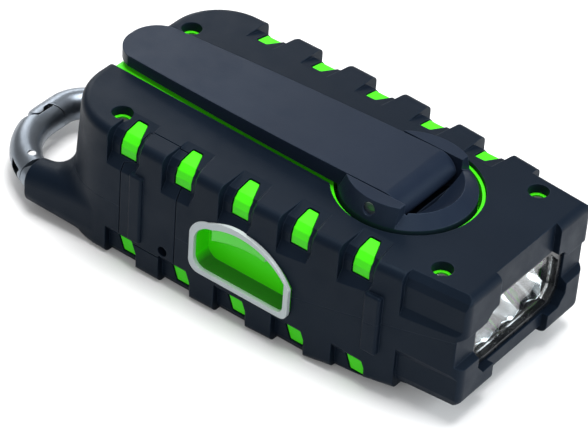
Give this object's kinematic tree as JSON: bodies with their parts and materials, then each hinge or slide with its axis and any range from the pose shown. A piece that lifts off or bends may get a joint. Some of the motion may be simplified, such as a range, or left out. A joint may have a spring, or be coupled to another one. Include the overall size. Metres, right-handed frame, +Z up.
{
  "type": "emergency radio",
  "caption": "Pocket hand-cranked radio in a ribbed rubber bumper, with a lamp at one end, a clip ring at the other and a bottle opener in its side.",
  "frame": {"origin": "on the resting plane, below the third window of the long sides, midway across the body", "axes": "+X towards the lamp, +Y towards the antenna side, +Z up towards the crank"},
  "size_m": [0.1379, 0.0599, 0.0404],
  "materials": {
    "bumper_rubber": "fine matt moulding grain",
    "green_plastic": "smooth",
    "black_plastic": "satin",
    "crank_plastic": "fine matt moulding grain",
    "key_rubber": "matt",
    "opener_metal": "silver paint",
    "clip_metal": "satin gunmetal",
    "steel": "brushed",
    "gear_nylon": "moulded",
    "magnet": "plated",
    "circuit_board": "solder mask",
    "battery_wrap": "shrink wrap",
    "speaker_cone": "paper",
    "clear_window": "clear",
    "display_grey": "matt",
    "ferrite": "sintered",
    "reflector_chrome": "mirror",
    "led_yellow": "clear dome",
    "antenna_chrome": "polished"
  },
  "bodies": {
    "body": {"upper_bumper": "bumper_rubber", "lower_bumper": "bumper_rubber", "upper_case": "green_plastic", "lower_case": "green_plastic", "port_panel": "black_plastic", "charging_socket": "steel", "earphone_jack": "black_plastic", "opener_ring": "opener_metal", "opener_pocket": "green_plastic", "clip_base": "clip_metal", "clip_gate_pin": "steel", "clip_hook": "clip_metal", "crank_bush": "black_plastic", "idler_pin": "steel", "generator_can": "steel", "gear_plate": "steel", "main_board": "circuit_board", "battery_pack": "battery_wrap", "speaker": "speaker_cone", "speaker_grille": "black_plastic", "display_window": "clear_window", "display_panel": "display_grey", "ferrite_antenna": "ferrite", "lamp_bezel": "black_plastic", "lamp_lens": "clear_window", "lamp_reflector": "reflector_chrome", "lamp_board": "circuit_board", "lamp_leds": "led_yellow", "antenna_pin": "steel", "case_screws": "steel"},
    "hub": {"crank_hub": "crank_plastic", "crank_shaft": "steel", "drive_gear": "gear_nylon", "fold_pin": "steel"},
    "arm": {"crank_arm": "crank_plastic", "knob_pin": "steel"},
    "knob": {"crank_knob": "crank_plastic"},
    "idler": {"idler_gear": "gear_nylon"},
    "rotor": {"generator_rotor": "magnet"},
    "gate": {"clip_gate": "clip_metal"},
    "door": {"port_door": "bumper_rubber"},
    "whip_base": {"antenna_base": "antenna_chrome"},
    "whip_middle": {"antenna_stage_2": "antenna_chrome"},
    "whip_tip": {"antenna_stage_3": "antenna_chrome"},
    "key_power_cap": {"key_power": "key_rubber"},
    "key_band_cap": {"key_band": "key_rubber"},
    "key_light_cap": {"key_light": "key_rubber"},
    "key_tune_down_cap": {"key_tune_down": "key_rubber"},
    "key_tune_up_cap": {"key_tune_up": "key_rubber"},
    "key_volume_down_cap": {"key_volume_down": "key_rubber"},
    "key_volume_up_cap": {"key_volume_up": "key_rubber"}
  },
  "joints": [
    {"name": "crank_spin", "type": "hinge", "parent": "body", "child": "hub", "pos_m": [0.028, 0, 0.0357], "axis": [0, 0, 1], "continuous": true},
    {"name": "crank_fold", "type": "hinge", "parent": "hub", "child": "arm", "pos_m": [0.028, 0, 0.038], "axis": [0, 1, 0], "range_deg": [0, 155]},
    {"name": "knob_spin", "type": "hinge", "parent": "arm", "child": "knob", "pos_m": [-0.0415, 0, 0.0367], "axis": [0, 0, 1], "continuous": true},
    {"name": "idler_spin", "type": "hinge", "parent": "body", "child": "idler", "pos_m": [0.0132, 0, 0.0237], "axis": [0, 0, 1], "continuous": true},
    {"name": "generator_spin", "type": "hinge", "parent": "body", "child": "rotor", "pos_m": [0.0011, 0, 0.013], "axis": [0, 0, 1], "continuous": true},
    {"name": "gate_swing", "type": "hinge", "parent": "body", "child": "gate", "pos_m": [-0.0626, -0.0226, 0.007], "axis": [0, 0, -1], "range_deg": [0, 22], "stiffness_Nm_per_rad": 0.05, "springref_deg": -17.19},
    {"name": "door_swing", "type": "hinge", "parent": "body", "child": "door", "pos_m": [-0.022, -0.0292, 0.008], "axis": [1, 0, 0], "range_deg": [0, 90]},
    {"name": "antenna_swing", "type": "hinge", "parent": "body", "child": "whip_base", "pos_m": [0.038, 0.0272, 0.0178], "axis": [0, 0, -1], "range_deg": [0, 120]},
    {"name": "antenna_slide_2", "type": "slide", "parent": "whip_base", "child": "whip_middle", "axis": [-1, 0, 0], "range_m": [0, 0.055]},
    {"name": "antenna_slide_3", "type": "slide", "parent": "whip_middle", "child": "whip_tip", "axis": [-1, 0, 0], "range_m": [0, 0.055]},
    {"name": "key_power_press", "type": "slide", "parent": "body", "child": "key_power_cap", "axis": [0, 0, 1], "range_m": [0, 0.0008], "stiffness_N_per_m": 600, "springref_m": -0.0005},
    {"name": "key_band_press", "type": "slide", "parent": "body", "child": "key_band_cap", "axis": [0, 0, 1], "range_m": [0, 0.0008], "stiffness_N_per_m": 600, "springref_m": -0.0005},
    {"name": "key_light_press", "type": "slide", "parent": "body", "child": "key_light_cap", "axis": [0, 0, 1], "range_m": [0, 0.0008], "stiffness_N_per_m": 600, "springref_m": -0.0005},
    {"name": "key_tune_down_press", "type": "slide", "parent": "body", "child": "key_tune_down_cap", "axis": [0, 0, 1], "range_m": [0, 0.0008], "stiffness_N_per_m": 600, "springref_m": -0.0005},
    {"name": "key_tune_up_press", "type": "slide", "parent": "body", "child": "key_tune_up_cap", "axis": [0, 0, 1], "range_m": [0, 0.0008], "stiffness_N_per_m": 600, "springref_m": -0.0005},
    {"name": "key_volume_down_press", "type": "slide", "parent": "body", "child": "key_volume_down_cap", "axis": [0, 0, 1], "range_m": [0, 0.0008], "stiffness_N_per_m": 600, "springref_m": -0.0005},
    {"name": "key_volume_up_press", "type": "slide", "parent": "body", "child": "key_volume_up_cap", "axis": [0, 0, 1], "range_m": [0, 0.0008], "stiffness_N_per_m": 600, "springref_m": -0.0005}
  ],
  "couplings": [
    {"joint": "idler_spin", "follows": "crank_spin", "ratio": -3.2},
    {"joint": "generator_spin", "follows": "crank_spin", "ratio": 9.6}
  ]
}
